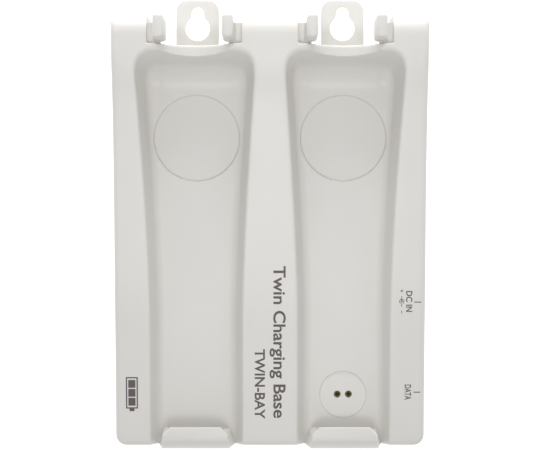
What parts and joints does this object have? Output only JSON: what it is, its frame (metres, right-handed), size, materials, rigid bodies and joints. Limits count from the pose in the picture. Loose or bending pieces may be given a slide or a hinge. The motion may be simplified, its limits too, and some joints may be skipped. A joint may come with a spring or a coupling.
{
  "type": "two-bay battery charge dock",
  "caption": "Charging dock with open cradle bays for handheld instruments, neck clips, keyhole hanger tabs and side sockets.",
  "frame": {"origin": "centre of the whole object's box, on the surface that its feet stand on", "axes": "+Z out of the bays, +Y from the foot lips towards the hanger tabs, +X to the side with the sockets"},
  "size_m": [0.142, 0.2064, 0.06],
  "materials": {
    "housing_plastic": "satin fine-grained warm white",
    "cover_plastic": "satin fine-grained warm white",
    "rubber": "matt",
    "black_plastic": "satin",
    "board": "solder mask",
    "gold_contact": "gold flashed",
    "steel": "zinc plated",
    "label_film": "blank silver film"
  },
  "bodies": {
    "dock": {"board_fuse": "steel", "board_screw_1": "steel", "board_screw_2": "steel", "board_screw_3": "steel", "case_screw_1": "steel", "case_screw_2": "steel", "case_screw_3": "steel", "case_screw_4": "steel", "case_screw_5": "steel", "case_screw_6": "steel", "charger_chip": "black_plastic", "contact_barrel_left": "gold_contact", "contact_barrel_right": "gold_contact", "contact_disc": "housing_plastic", "contact_spring_left": "steel", "contact_spring_right": "steel", "controller_chip": "black_plastic", "dc_jack_body": "black_plastic", "dc_jack_leaf": "gold_contact", "dc_jack_pin": "gold_contact", "front_housing": "housing_plastic", "main_board": "board", "port_shell": "steel", "port_tongue": "black_plastic", "power_inductor": "black_plastic", "rating_label": "label_film", "rear_cover": "cover_plastic", "rubber_foot_1": "rubber", "rubber_foot_2": "rubber", "rubber_foot_3": "rubber", "rubber_foot_4": "rubber", "smoothing_capacitor_1": "steel", "smoothing_capacitor_2": "steel", "timing_crystal": "steel"},
    "contact_pin_left": {"contact_pin_left": "gold_contact"},
    "contact_pin_right": {"contact_pin_right": "gold_contact"}
  },
  "joints": [
    {"name": "contact_left_travel", "type": "slide", "parent": "dock", "child": "contact_pin_left", "axis": [0, 0, -1], "range_m": [0, 0.0007], "stiffness_N_per_m": 300, "springref_m": -0.001, "deforming": ["contact_spring_left"]},
    {"name": "contact_right_travel", "type": "slide", "parent": "dock", "child": "contact_pin_right", "axis": [0, 0, -1], "range_m": [0, 0.0007], "stiffness_N_per_m": 300, "springref_m": -0.001, "deforming": ["contact_spring_right"]}
  ]
}
